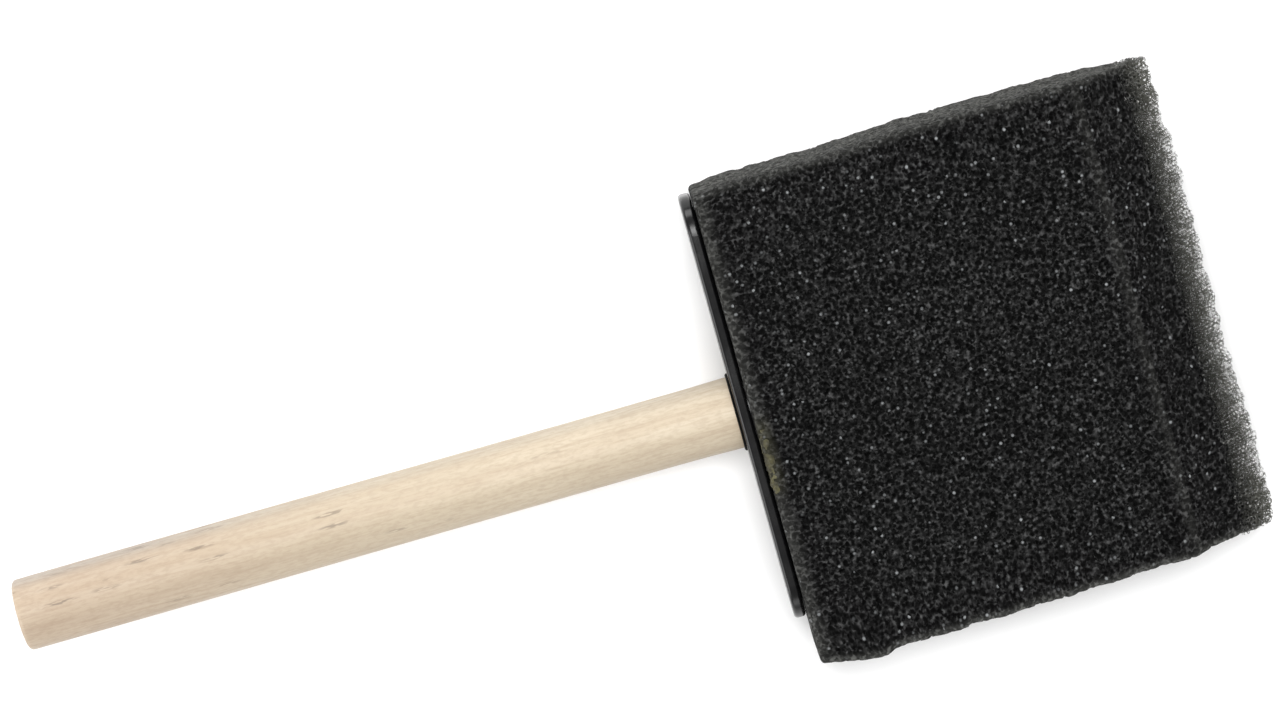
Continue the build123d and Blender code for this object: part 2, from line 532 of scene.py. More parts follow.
dowel = spin_dowel()
roughen_dowel(dowel)
bmesh.ops.translate(dowel, verts=dowel.verts[:], vec=(handle_low.x, handle_axis.y, handle_axis.z))
dowel_mesh = mesh_from(dowel, "handle")
dowel_mesh.shade_smooth()
handle = finish_mesh("handle", dowel_mesh, birch)
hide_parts("handle_dowel")
print("handle faces:", len(dowel_mesh.polygons))

# %% [markdown]
# **The moulding** keeps its modelled shape. It is black polystyrene with a satin skin from the mould:
# nearly even in colour, with a faint orange-peel relief that breaks up the reflections, and dusty
# scuffs on the flange from the packing. The collar round the socket's mouth is made rough and almost
# unreflecting, so it shines far less than the flange and looks as dark as the shade in the seam there:
# this is painted shade, done with the gloss rather than the colour.

# %% Material: black moulded plastic
black, tree, shader = material("black_moulding")
here = object_place(tree)
skin = use(mottle, here, Patch_Size=0.004, Contrast=1.2)
scuffs = use(mottle, here, Patch_Size=0.0015, Stretch=2.5, Contrast=1.6)
dusty = ramp(scuffs["Tone"], 0.55, 0.95, 0.0, 0.35)
x, y, z = parts(here)
from_axis = distance(minus(y, axis_y), minus(z, handle_axis.z))
# painted shade: the collar is made rough and almost unreflecting, to look as dark as the shade in the seam
collar_painted_shade = times(
    fade(from_axis, handle_radius, 0.55, 0.9, 1.0, 0.0),
    fade(x, core_low.x, 0.45, 0.6, 1.0, 0.0),
)
roughness = ramp(skin["Tone"], 0.2, 0.8, 0.18, 0.30)
plug(
    shader, Base_Color=blend(dusty, (0.0022, 0.0022, 0.0025), grey(0.012)),
    Roughness=largest(roughness, times(collar_painted_shade, 0.6)),
    Specular_IOR_Level=ramp(collar_painted_shade, 0, 1, 0.36, 0.03), Normal=bumped(skin["Fine"], 0.25, 0.03 * MM),
)
paint_with(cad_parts["core_insert"].data, black)
print("material:", black.name)

# %% [markdown]
# **The foam** is what this brush is about. Open-cell foam is a heap of bubbles whose walls have burst,
# so that only the struts between them are left. Millions of struts are too many to model, and one
# can't look deep into the block anyway. So the block is a skin: a Voronoi texture says how far the
# nearest bubble's middle is, which sinks a pit at each large hollow and shades struts and holes. The
# thin tip, which light passes through, gets real struts.

# %% The foam's cells
CELL = 0.64 * MM  # from one bubble's middle to the next, as they show in the skin
HOLLOW = 1.10 * MM  # the same for the larger hollows, where several bubbles have run together
STRUT_ENDS = 0.75 * MM  # the same for the thick joints between struts, which catch the light as dots
SPREAD = 0.9  # how irregular the bubbles lie, from 0 to 1
WARP = 1.1  # how strongly the bubbles are pressed out of round
COARSE = 1.0  # trial renders use a coarser mesh


def shaken(place, size, amount):
    """place, moved by a smooth noise whose lumps have this size."""
    push = vector_maths("SUBTRACT", clouds(place, 1 / size, 1.0, output="Color"), (0.5, 0.5, 0.5))
    return vector_maths("ADD", place, vector_maths("SCALE", push, amount))


def bubble_field(place, cell):
    """How far the nearest bubble's middle is, in cells, and the bubble's own colour.

    A little noise bends the space first, because real bubbles are pressed out of round.
    """
    return cells(shaken(place, cell / 0.9, WARP * cell), 1 / cell, SPREAD)


def keep(geometry, name, value):
    """Stores a vector on the points under a name, for the material to read."""
    settings = {"data_type": "FLOAT_VECTOR", "domain": "POINT"}
    node = add(geometry.id_data, "GeometryNodeStoreNamedAttribute", settings, Geometry=geometry, Name=name)
    node.id_data.links.new(value, next(s for s in node.inputs if s.name == "Value" and s.enabled))
    return node.outputs[0]


print("cells across the foam:", round(foam_size.y / CELL))

# %% [markdown]
# The block is drawn from the side as a flat bar that the two bevels cut to a chisel, pulled across the
# head, and its edges are rounded. It stops short of the tip, where the real struts take over.

# %% The foam block's body
TIP_THICKNESS = 1.0 * MM
BEVEL_LENGTH = 12.3 * MM
OPEN_TIP = 3.7 * MM  # how much of the tip is made of real struts
BACK_ROUNDING = 1.2 * MM
BLEND = 1.5 * MM  # before the open tip the skin sinks over this length, under the first real struts
SINK = 0.6 * MM
NEAR = 0.01 * MM  # points this close together count as level
slope = (foam_size.z - TIP_THICKNESS) / 2 / BEVEL_LENGTH
x_back, x_tip = foam_low.x, foam_high.x
x_ridge = x_tip - BEVEL_LENGTH
x_open = x_tip - OPEN_TIP
x_blend = x_open - BLEND
ROUNDINGS = (  # edges at these places along an axis and level along another: radius and segments
    (0, (x_ridge,), 2, 2.5 * MM, 4),
    (0, (x_back,), 2, BACK_ROUNDING, 5),
    (1, (foam_low.y, foam_high.y), 1, 0.7 * MM, 4),
)


def half_thickness(x):
    """Half of the wedge's thickness at x, between the ridge and the tip."""
    return TIP_THICKNESS / 2 + (x_tip - x) * slope


def edges_at(build, axis, places, level):
    """The edges with both ends at one of the places along an axis, and level along another axis."""
    found = []
    for edge in build.edges:
        ends = [point.co for point in edge.verts]
        there = all(min(abs(end[axis] - place) for place in places) < NEAR for end in ends)
        if there and abs(ends[0][level] - ends[1][level]) < NEAR:
            found.append(edge)
    return found


def foam_body():
    """The block up to the open tip, with rounded edges."""
    build = bmesh.new()
    wall = half_thickness(x_open)
    outline = [
        (x_back, foam_low.z), (x_ridge, foam_low.z), (x_open, foam_middle.z - wall),
        (x_open, foam_middle.z + wall), (x_ridge, foam_high.z), (x_back, foam_high.z),
    ]
    side = build.faces.new([build.verts.new((x, foam_low.y, z)) for x, z in outline])
    pull(build, bmesh.ops.extrude_face_region, (0, foam_size.y, 0), geom=[side])
    face_outward(build)
    for axis, places, level, rounding, segments in ROUNDINGS:
        edges = edges_at(build, axis, places, level)
        how = {"offset_type": "OFFSET", "affect": "EDGES", "clamp_overlap": True}
        bevel(build, edges, rounding, segments=segments, **how)
    return build


body = foam_body()
body_mesh = mesh_from(body, "foam_body")
print("body faces:", len(body_mesh.polygons))

# %% [markdown]
# A voxel remesh gives the body an even net of small squares. Each large hollow that the surface cuts
# becomes a pit, by its own luck a deep or a shallow one, and deeper on the sides, where the die tore the
# foam open. The places and directions before the move are stored for the material.

# %% Piece: the foam block with its pits
SKIN_STEP = 0.25 * MM * COARSE
PIT_DEPTH = 0.5 * MM


def sink_pits():
    """A geometry node tree that sinks a pit into a surface at each bubble that it cuts."""
    tree, given, result = group("sink_pits")
    place = add(tree, "GeometryNodeInputPosition").outputs[0]
    normal = add(tree, "GeometryNodeInputNormal").outputs[0]
    kept = keep(keep(given[0], "cut_place", place), "cut_facing", normal)
    hollows = bubble_field(place, HOLLOW)
    depth = ramp(parts(hollows["Color"])[0], 0.2, 1.0, 0.15 * PIT_DEPTH, PIT_DEPTH)
    deeper = ramp(size_of(parts(normal)[1]), 0.3, 0.9, 1.0, 1.5)
    pit = times(ramp(hollows["Distance"], 0.68, 0.12), depth, deeper)
    kept = keep(kept, "cut_depth", vector_of(pit))
    sunk = times(plus(pit, ramp(parts(place)[0], x_blend, x_open, 0.0, SINK)), -1.0)
    offset = vector_maths("SCALE", normal, sunk)
    plug(result, Geometry=made("GeometryNodeSetPosition", Geometry=kept, Offset=offset))
    return tree


body_holder = put("foam_body", body_mesh)
even_net = body_holder.modifiers.new("even_net", "REMESH")
even_net.mode = "VOXEL"
even_net.voxel_size = SKIN_STEP
body_holder.modifiers.new("pits", "NODES").node_group = sink_pits()
block_mesh = evaluated(body_holder)
print("foam block faces:", len(block_mesh.polygons))

# %% [markdown]
# The last millimetres of the chisel are thin enough to see through, so here the struts are real. A
# bubble in foam is close to Kelvin's cell, an octahedron with its corners cut off: such cells stack
# without gaps, and four struts meet at each corner, as they do in foam. One cell is a hull of six
# points, each cut back by a third of the edges that meet there, and only its edges are kept.

# %% One foam cell
NET_CELL = 0.59 * MM  # a cube with this side holds as much as one cell
STACK = NET_CELL * 2 ** (1 / 3)  # from one cell to the next along the stack's own axes
POINT_REACH = 0.75 * STACK  # from the cell's middle to each of the octahedron's points


def kelvin_cell():
    """One cell's edges, as an object to repeat."""
    build = bmesh.new()
    for axis in range(3):
        for end in (-POINT_REACH, POINT_REACH):
            corner = Vector((0, 0, 0))
            corner[axis] = end
            build.verts.new(corner)
    bmesh.ops.convex_hull(build, input=build.verts[:])
    bevel(build, build.verts[:], 100 / 3, offset_type="PERCENT", segments=1, affect="VERTICES")
    bmesh.ops.delete(build, geom=build.faces[:], context="FACES_ONLY")
    return bpy.data.objects.new("foam_cell", mesh_from(build, "foam_cell"))


cell_object = kelvin_cell()
print("one cell:", len(cell_object.data.vertices), "corners,", len(cell_object.data.edges), "struts")

# %% [markdown]
# The cells stand in a stack that is turned, so that none of its rows lies along the tip. Only those
# in the wedge count, and over the last stretch of the block a thin layer of them lies on the sunken
# skin, so that painted cells give way to real ones without a line.

# %% Where the cells stand
TURN = Euler((0.6, 0.35, 0.25))
STACK_REACH = 0.55  # how far the stack reaches from its middle, as a share of the foam's width


def stack_middles():
    """The middles of the cells in the see-through wedge and in the layer on the sunken skin."""
    reach = math.ceil(foam_size.y * STACK_REACH / STACK)
    steps = np.arange(-reach, reach + 1)
    grid = np.stack(np.meshgrid(steps, steps, steps), -1).reshape(-1, 3)
    grid = np.concatenate([grid, grid + 0.5]) * STACK
    middles = grid @ np.array(TURN.to_matrix()).T + np.array((x_tip, 0, foam_middle.z))
    x, y, z = middles.T
    into_side = foam_size.y / 2 - np.abs(y)
    into_skin = np.minimum(half_thickness(x) - np.abs(z - foam_middle.z), into_side)
    sunk = SINK * ease(x, x_blend, x_open)
    wanted = (x > x_open - 2 * STACK) | (into_skin < sunk + STACK)
    wanted &= (into_skin > -STACK) & (x > x_blend - STACK) & (x < x_tip + STACK)
    return middles[wanted]


middles = stack_middles()
print("cells in the tip:", len(middles))

# %% [markdown]
# Geometry nodes do the rest in one go: put a cell at each middle, merge the struts that neighbours
# share, shake the corners out of their strict order, drop what lies outside the wedge, and give each
# remaining edge a three-sided tube. A strut is about a twentieth of a millimetre thick, thicker and
# thinner by turns in upright lumps. Towards the sides the die has pressed the struts together, so they
# are thicker there.

# %% Piece: the foam's open tip
STRUT_RADIUS = 0.0275 * MM
SAME_CORNER = 0.02 * MM  # corners closer than this are one
CLUMP = 0.65 * MM  # the size of the upright lumps in which the struts are thicker or thinner
CORNER_ROUNDING = 0.5 * MM
NET_MARGIN = 0.12 * MM  # a strut's corner may lie this far outside the wedge
LAYER = 0.3 * MM  # how thick the struts lie on the sunken skin
OVERLAP = 1.2 * MM  # how far the full net reaches back into the block


def inside_wedge(place):
    """How deep a place is in the part of the wedge that gets struts, in its skin and from a side."""
    x, y, z = parts(place)
    before_tip = minus(x_tip, x)
    wedge = maths("MULTIPLY_ADD", before_tip, slope, TIP_THICKNESS / 2)
    under_face = minus(wedge, size_of(minus(z, foam_middle.z)))
    in_side = minus(foam_size.y / 2, size_of(y))
    short = [largest(minus(CORNER_ROUNDING, depth), 0.0) for depth in (before_tip, in_side)]
    in_plan = minus(CORNER_ROUNDING, distance(*short))
    in_skin = smallest(under_face, in_side)
    layer = minus(ramp(x, x_blend, x_open, LAYER, SINK + LAYER), in_skin)
    after_block = largest(minus(x, x_open - OVERLAP), layer)
    return smallest(under_face, in_plan, after_block, minus(x, x_blend)), in_skin, in_side


def strut_net():
    """A geometry node tree that turns cell middles into a net of struts."""
    tree, given, result = group("strut_net")
    settings = {"transform_space": "ORIGINAL"}
    cell = add(tree, "GeometryNodeObjectInfo", settings, Object=cell_object).outputs["Geometry"]
    stacked = made("GeometryNodeInstanceOnPoints", Points=given[0], Instance=cell, Rotation=TURN)
    loose = made("GeometryNodeRealizeInstances", Geometry=stacked)
    joined = made("GeometryNodeMergeByDistance", Geometry=loose, Distance=SAME_CORNER)
    place = add(tree, "GeometryNodeInputPosition").outputs[0]
    uneven = shaken(shaken(place, 2.5 * MM, 1.6 * MM), 0.3 * MM, 0.55 * MM)
    moved = made("GeometryNodeSetPosition", Geometry=joined, Position=uneven)
    depth, in_skin, in_side = inside_wedge(place)
    outside = made("FunctionNodeCompare", {"operation": "LESS_THAN"}, i0=depth, i1=-NET_MARGIN)
    kept = made("GeometryNodeDeleteGeometry", Geometry=moved, Selection=outside)
    ring = add(tree, "GeometryNodeCurvePrimitiveCircle", Resolution=3, Radius=STRUT_RADIUS).outputs[0]
    lumps = clouds(stretched(place, (1.0, 1.0, 0.2)), 1 / CLUMP, 1.0)
    thick = times(fade(in_side, 0, 3, 10, 2.0, 1.0), ramp(lumps, 0.32, 0.68, 0.3, 1.7))
    inputs = {"Curve": made("GeometryNodeMeshToCurve", Mesh=kept), "Profile_Curve": ring, "Scale": thick}
    tubes = made("GeometryNodeCurveToMesh", Fill_Caps=True, **inputs)
    plug(result, Geometry=keep(keep(tubes, "cut_place", place), "cut_depth", vector_of(in_skin, in_side)))
    return tree


tip_holder = put("foam_tip", bpy.data.meshes.new("foam_tip"))
tip_holder.data.from_pydata(middles.tolist(), [], [])
tip_holder.modifiers.new("struts", "NODES").node_group = strut_net()
tip_mesh = evaluated(tip_holder)
bpy.data.objects.remove(cell_object)
print("open tip faces:", len(tip_mesh.polygons))

# %% [markdown]
# A hand-cut, hand-glued head is not a perfect block. Its +Y back corner is drawn in and that side
# swells a little nearer the tip. The -Y side swells more, where the foam was pushed onto the core, and
# falls back in steps. The tip bows out and falls back twice, and all cut edges ripple where the blade
# dragged. It is one smooth move of the points, the same for block and tip. The cells' own places were
# stored before it, so the pattern moves with the foam.

# %% Settle the foam into its real, uneven form
EDGE_BAND = 9 * MM  # the sides and the tip move fully, and the foam this far in not at all
TUCK = 0.4 * MM
TUCK_REACH = 7 * MM
SIDE_START = 0.95  # in millimetres, as are where each step starts and ends and what it adds
SIDE_STEPS = (
    (0, 8.0, 1.35), (9.5, 12.5, -0.8), (22.5, 24, -0.2), (30.5, 33, -0.2),
    (37, 46, -0.3), (48, 52, -0.35), (61.5, 64, -0.48),
)
FAR_STEPS = ((18, 38, 0.7),)
TIP_STEPS = ((-18, -12, -0.6), (26.5, 28.5, -0.65))
PRESS_BACK = 0.36 * MM  # the back lies this much closer to the flange
PRESS_REACH = 3 * MM
TIP_REACH = 1.3 * MM  # how far the tip's cut lies ahead of the true block
CORNER = 0.6 * MM  # how much less at the -Y corner
CORNER_REACH = 5 * MM
RIPPLE = 0.4 * MM
DENT = 0.012  # how far the broad faces are dented on average, as a share of half the thickness


def ripple(place, lengths, phases):
    """Uneven waves, from -1 to 1: a few sines whose lengths do not divide each other."""
    waves = [np.sin(place / length * 2 * math.pi + phase) for length, phase in zip(lengths, phases)]
    return sum(waves) / len(waves)


def staircase(place, steps, start=0.0):
    """A height that starts with start and changes smoothly by each step."""
    return start * MM + sum(step * MM * ease(place, low * MM, high * MM) for low, high, step in steps)


def settle(mesh):
    """Moves the mesh's points from the true block to the real form."""
    points = read(mesh.vertices, "co").astype(float)
    x, y, z = points.T
    side = np.sign(y)
    at_side = ease(np.abs(y), foam_size.y / 2 - EDGE_BAND, foam_size.y / 2)
    near_swell = staircase(x - x_back, SIDE_STEPS, SIDE_START)
    far_swell = staircase(x - x_back, FAR_STEPS) - TUCK * (1 - ease(x, x_back, x_back + TUCK_REACH))
    side_wave = RIPPLE / 3 * ripple(x + side * 3 * MM, (9.7 * MM, 6.1 * MM, 3.4 * MM), (0.4, 1.9, 4.0))
    forward = TIP_REACH + RIPPLE * ripple(y, (11 * MM, 6.1 * MM, 3.3 * MM), (2.0, 0.7, 3.1))
    forward = forward - CORNER * (1 - ease(y, foam_low.y, foam_low.y + CORNER_REACH))
    forward = forward + staircase(y, TIP_STEPS)
    pressed = PRESS_BACK * (1 - ease(x, x_back, x_back + PRESS_REACH))
    dent = ripple(x + 0.6 * y, (31 * MM, 47 * MM), (0.0, 2.0))
    dent = dent * ripple(y - 0.4 * x, (39 * MM, 57 * MM), (1.0, 0.3))
    moved = points.copy()
    moved[:, 0] += ease(x, x_tip - EDGE_BAND, x_tip) * forward - pressed
    moved[:, 1] += side * at_side * (np.where(side < 0, near_swell, far_swell) + side_wave)
    moved[:, 2] = foam_middle.z + (z - foam_middle.z) * (1 - DENT + DENT * dent)
    mesh.vertices.foreach_set("co", moved.astype(np.float32).ravel())
    mesh.update()


for mesh in (block_mesh, tip_mesh):
    settle(mesh)
print("foam settled")

# %% [markdown]
# The core sits in a pocket, so the block needs one. The modelled foam already has the right pocket
# wall: a copy of it is carried a little way out of the back, closed to a solid and cut from the block.
# The cutter gets its own cut places, so that the new faces have them too.

# %% Cut the pocket for the core
STICK_OUT = 1.5 * MM  # how far the cutter reaches past the back
OUTER_FACES = 2 * MM  # what lies this close to the foam's top or bottom isn't the pocket's
OUTER_SIDES = 1 * MM  # nor what lies this close to its sides, or this far past the core


def pocket_cutter():
    """The pocket's own wall as a closed solid that sticks out of the block's back."""
    build = bmesh.new()
    build.from_mesh(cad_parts["foam_head"].data)
    bmesh.ops.remove_doubles(build, verts=build.verts[:], dist=0.001 * MM)
    middles = [(face, face.calc_center_median()) for face in build.faces]
    outer = [
        face for face, c in middles
        if c.x < x_back + NEAR or c.x > core_high.x + OUTER_SIDES or abs(c.y) > foam_size.y / 2 - OUTER_SIDES
        or abs(c.z - foam_middle.z) > foam_size.z / 2 - OUTER_FACES
    ]
    bmesh.ops.delete(build, geom=outer, context="FACES")
    rim = [edge for edge in build.edges if edge.is_boundary]
    pull(build, bmesh.ops.extrude_edge_only, (-STICK_OUT, 0, 0), edges=rim)
    bmesh.ops.holes_fill(build, edges=[edge for edge in build.edges if edge.is_boundary], sides=0)
    face_outward(build)
    mesh = mesh_from(build, "pocket")
    places = read(mesh.vertices, "co").ravel()
    mesh.attributes.new("cut_place", "FLOAT_VECTOR", "POINT").data.foreach_set("vector", places)
    return put("pocket", mesh)


block_holder = put("block_to_cut", block_mesh)
cutter = pocket_cutter()
cut = block_holder.modifiers.new("pocket", "BOOLEAN")
cut.operation, cut.solver, cut.object = "DIFFERENCE", "MANIFOLD", cutter
solid_faces = len(block_mesh.polygons)
block_mesh = evaluated(block_holder)
bpy.data.objects.remove(cutter)
print("block faces before and after the pocket:", solid_faces, len(block_mesh.polygons))

# %% [markdown]
# A baked texture needs a flat layout of the skin, and a pitted surface unfolds badly by itself. So each
# face goes to the sheet of the block's side that it belongs to, placed by where it lay before it was
# moved. The sheets lie side by side like a box cut open.

# %% Layout for baking the foam
GAP = 2 * MM  # between two sheets
POCKET_DEPTH = 0.3 * MM  # faces that lie deeper than this are the pocket's
POCKET_SCALE = 0.36  # the pocket is out of sight, so its sheets are small
EDGE_GAP = 0.01  # round each of the tip's two sheets, as a share of the square


def cut_places(mesh):
    """Where each face's corners lay before the foam settled, and where its middle did."""
    kept = read(mesh.attributes["cut_place"].data, "vector")
    corner = read(mesh.loops, "vertex_index", 1, np.int32)[:, 0]
    counts = read(mesh.polygons, "loop_total", 1, np.int32)[:, 0]
    places = kept[corner].astype(float)
    face_of_corner = np.repeat(np.arange(len(counts)), counts)
    middles = np.stack([np.bincount(face_of_corner, places[:, i]) / counts for i in range(3)], 1)
    return places, middles[face_of_corner]


def set_layout(mesh, layout):
    """Gives the mesh its layout: a place in the square for each corner of each face."""
    mesh.uv_layers.new(name="OFBake").uv.foreach_set("vector", layout.astype(np.float32).ravel())


def lay_out_block(mesh):
    """Top, bottom, two sides, back, front and the pocket's two halves as sheets in one square."""
    places, middles = cut_places(mesh)
    x, y, z = (places - np.array(foam_low)).T
    mx, my, mz = (middles - np.array(foam_low)).T
    length, width, height = foam_size
    wedge = np.minimum(height / 2, half_thickness(mx + foam_low.x))
    below_faces = wedge - np.abs(mz - height / 2)
    depths = np.stack([below_faces, np.minimum(my, width - my), mx, (x_open - foam_low.x) - mx])
    nearest = np.where(depths.min(0) > POCKET_DEPTH, 4, depths.argmin(0))
    upper, near = mz > height / 2, my < width / 2
    small_x, small_y = x * POCKET_SCALE, y * POCKET_SCALE
    ends_row = width + height + 2 * GAP
    pocket_row = ends_row + height + GAP
    sheets = (
        ((nearest == 0) & upper, x, y, 0, 0),
        ((nearest == 0) & ~upper, x, y, length + GAP, 0),
        ((nearest == 1) & near, x, z, 0, width + GAP),
        ((nearest == 1) & ~near, x, z, length + GAP, width + GAP),
        (nearest == 2, y, z, 0, ends_row),
        (nearest == 3, y, z, width + GAP, ends_row),
        ((nearest == 4) & upper, small_x, small_y, 0, pocket_row),
        ((nearest == 4) & ~upper, small_x, small_y, width, pocket_row),
    )
    layout = np.zeros((len(x), 2))
    for chosen, across, upward, start_u, start_v in sheets:
        layout[chosen, 0] = across[chosen] + start_u + GAP
        layout[chosen, 1] = upward[chosen] + start_v + GAP
    set_layout(mesh, layout / (2 * width + 3 * GAP))


def lay_out_tip(mesh):
    """Upper and lower half as two sheets, stretched along the short side."""
    places, middles = cut_places(mesh)
    across = (places[:, 0] - x_blend + MM) / (x_tip - x_blend + 2 * MM)
    upward = (places[:, 1] - foam_low.y + MM) / (foam_size.y + 2 * MM)
    start_u = np.where(middles[:, 2] > foam_middle.z, EDGE_GAP, 0.5 + EDGE_GAP)
    layout = [across * (0.5 - 2 * EDGE_GAP) + start_u, upward * (1 - 2 * EDGE_GAP) + EDGE_GAP]
    set_layout(mesh, np.stack(layout, 1))


lay_out_block(block_mesh)
lay_out_tip(tip_mesh)
print("layouts:", block_mesh.uv_layers[0].name, tip_mesh.uv_layers[0].name)

# %% [markdown]
# Both kinds of foam, painted cells and real struts, share what the raw material looks like: charcoal
# with faint broad patches, and painted glints: light specks in the colour for a few burst walls that
# stay behind as shiny flakes, picked at random from cells of their own. Both also share the painted
# dots of light where struts join.

# %% Shared effect: foam matter
BLOTS = 1350.0  # uneven spots per metre, a little smaller than the cells
# the colour of the painted glints
GLINT = (0.22, 0.23, 0.235)
matter_inputs = {"Place": None, "Flake Size": 0.7 * MM, "Luck": 0.85}
matter, given, result = group("foam_matter", matter_inputs, ("Tone", "Glint"), "Shader")
broad = use(mottle, given["Place"], Patch_Size=0.016, Contrast=1.5)["Tone"]
flakes = cells(given["Place"], maths("DIVIDE", 1.0, given["Flake Size"]))
luck, shine, _ = parts(flakes["Color"])
lucky = ramp(minus(luck, given["Luck"]), 0.0, 0.03)
# the glints are painted highlights in the colour
glint = times(lucky, ramp(flakes["Distance"], 0.5, 0.1), power(shine, 3.0))
plug(result, Tone=ramp(broad, 0.2, 0.8), Glint=glint)


def strut_ends(place, rim, core):
    """Dots that are bright from core inward and dark from rim outward, each by its own luck."""
    ends = bubble_field(place, STRUT_ENDS)
    return times(ramp(ends["Distance"], rim, core), power(parts(ends["Color"])[0], 1.6))


print("group:", matter.name)

# %% [markdown]
# At the block's skin one looks into the heap of cells: the struts that the knife cut are grey, those
# one cell further in are dimmer, and behind them all is nearly black; the dimming and the black are
# painted shade. The same bubbles, read a little deeper each time, give those layers, and no two struts
# catch the same light. In a pit they are dimmed by painted shade. The sides, the back and the rims get
# a paler tone of their own, which is painted light.

# %% Charcoal foam: its struts and holes
# painted shade: each deeper layer of struts is dimmer
LAYERS = ((0.0, 1.0), (0.3 * MM, 0.48), (0.65 * MM, 0.20))  # how deep, and how bright
charcoal, tree, shader = material("charcoal_foam")
cell_place = stored(tree, "cut_place")
facing = stored(tree, "cut_facing")
nets = []
for depth, brightness in LAYERS:
    deeper = vector_maths("ADD", cell_place, vector_maths("SCALE", facing, -depth))
    nets.append(ramp(bubble_field(deeper, CELL)["Distance"], 0.46, 0.74, 0.0, brightness))
strut = largest(*nets)
blots = clouds(cell_place, BLOTS, 1.0)
bright = power(3.2, ramp(blots, 0.25, 0.75, -1.0, 1.0))
strut_tone = plus(times(strut, bright, 0.13), times(strut_ends(cell_place, 0.42, 0.06), 0.34))
pit = parts(stored(tree, "cut_depth"))[0]
# painted shade: the struts are dimmer in a pit
strut_tone = times(strut_tone, fade(pit, 0, 0.08, 0.4, 1.08, 0.5))
stuff = use(matter, cell_place)
# painted shade: the holes between the struts are nearly black
broad_tone = blend(strut_tone, grey(0.0008), blend(stuff["Tone"], grey(0.105), grey(0.135)))
side_light = times(ramp(strut, 0.0, 1.0, 0.2, 0.9), ramp(blots, 0.3, 0.7, 0.35, 1.4))
side_tone = blend(side_light, (0.020, 0.020, 0.019), (0.106, 0.107, 0.100))
print("layers of struts:", len(nets))

# %% [markdown]
# The paler tone is painted light: it lies on the sides, most of all low down, on the back, on the
# rounded back edge, along the broad faces' rims and, faintly, on the ridge. Beside the handle the foam
# has soaked up some of the adhesive that was pressed out there, so that it is olive between the struts.

# %% Material: charcoal foam
forward, sideways, _ = parts(facing)
x, y, z = parts(cell_place)
# painted light on the sides, more low down, on the back, on the rounded back edge and on the ridge
painted_side_light = times(ramp(size_of(sideways), 0.35, 0.95), fade(z, 0, 12, 19.5, 1.0, 0.5))
painted_back_light = ramp(forward, -0.15, -0.8, 0.0, 0.5)
painted_back_edge_light = power(fade(x, x_back, 3.2, 0.6), 2.0)
before_ridge = power(fade(x, x_ridge, -3.0, -0.1), 2.0)
ridge = times(before_ridge, fade(x, x_ridge, 0.8, 0))
# painted light along the broad faces' rims
near_side = power(ramp(minus(foam_high.y, size_of(y)), 2.2 * MM, 0.0), 2.0)
rim = times(near_side, ramp(y, -MM, MM, 0.95, 0.5))
pale = largest(painted_side_light, painted_back_light, times(painted_back_edge_light, 0.40), times(ridge, 0.25), rim)
soaked = times(
    fade(x, x_back, 2.6, 0.6), fade(z, 0, 17, 19), fade(y, 0, -12.5, -8), fade(y, 0, 2.5, -1.0),
    ramp(strut_tone, 0.0, 0.8, 0.25, 0.8),
)
olive = (0.045, 0.042, 0.018)
tone = coats(blend(pale, broad_tone, side_tone), (soaked, olive), (stuff["Glint"], GLINT))
relief = plus(times(strut, 0.6), times(blots, 0.4))
plug(
    shader, Base_Color=tone, Roughness=ramp(stuff["Glint"], 0.0, 0.5, 0.65, 0.35),
    Specular_IOR_Level=ramp(stuff["Glint"], 0.0, 0.5, 0.03, 0.3), Normal=bumped(relief, 0.7, 0.2 * MM),
)
print("material:", charcoal.name)

# %% [markdown]
# Real struts need no painted ones. They get the same matter, each strut a little lighter or darker
# than the next. Struts that lie deeper get painted shade, standing for the shade of the burst walls that
# hang between real struts and are not modelled. Towards the thin tip they get painted light, for the
# light that reaches them from behind, near the sides the same painted light as the block's sides, and
# near the skin painted highlights where struts join.

# %% Material: charcoal struts
charcoal_struts, tree, shader = material("charcoal_struts")
cell_place = stored(tree, "cut_place")
in_skin, in_side, _ = parts(stored(tree, "cut_depth"))
x = parts(cell_place)[0]
stuff = use(matter, cell_place)
uneven = clouds(stretched(cell_place, (1.0, 1.0, 0.15)), 1700.0, 2.0)
blots = clouds(cell_place, BLOTS, 1.0)
# painted highlights where struts join near the skin
ends = times(strut_ends(cell_place, 0.5, 0.1), fade(in_skin, 0, 0.7, 0.2))
tone = blend(stuff["Tone"], grey(0.038), grey(0.052))
tone = coats(
    blend(ramp(uneven, 0.42, 0.60), grey(0.004), tone),
    (ramp(blots, 0.56, 0.74, 0.0, 0.6), (0.16, 0.16, 0.155)),
    # painted shade on the deeper struts
    (fade(in_skin, 0, 0.15, 1.1, 0.0, 0.7), grey(0.004)),
    # painted light towards the thin tip, for light from behind
    (fade(x, x_tip, -5, -0.5, 0.1, 0.75), (0.145, 0.146, 0.125)),
    # painted light near the sides, as on the block
    (fade(in_side, 0, 0.5, 0.1, 0.0, 0.7), (0.110, 0.111, 0.104)),
    (ends, (0.42, 0.42, 0.40)),
    (stuff["Glint"], GLINT),
)
plug(
    shader, Base_Color=tone, Roughness=ramp(uneven, 0.3, 0.7, 0.45, 0.7), Specular_IOR_Level=0.1,
    Normal=bumped(uneven, 0.3, 0.03 * MM),
)
print("material:", charcoal_struts.name)

# %% [markdown]
# Both pieces are foam, and together they take the place of the modelled foam head, which is hidden.

# %% Put the foam on the brush
foam_pieces = (("foam_block", block_mesh, charcoal), ("foam_open_tip", tip_mesh, charcoal_struts))
for name, mesh, paint in foam_pieces:
    mesh.shade_smooth()
    piece = finish_mesh(name, mesh, paint)
    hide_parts("foam_head")
    print(name, "faces:", len(mesh.polygons))

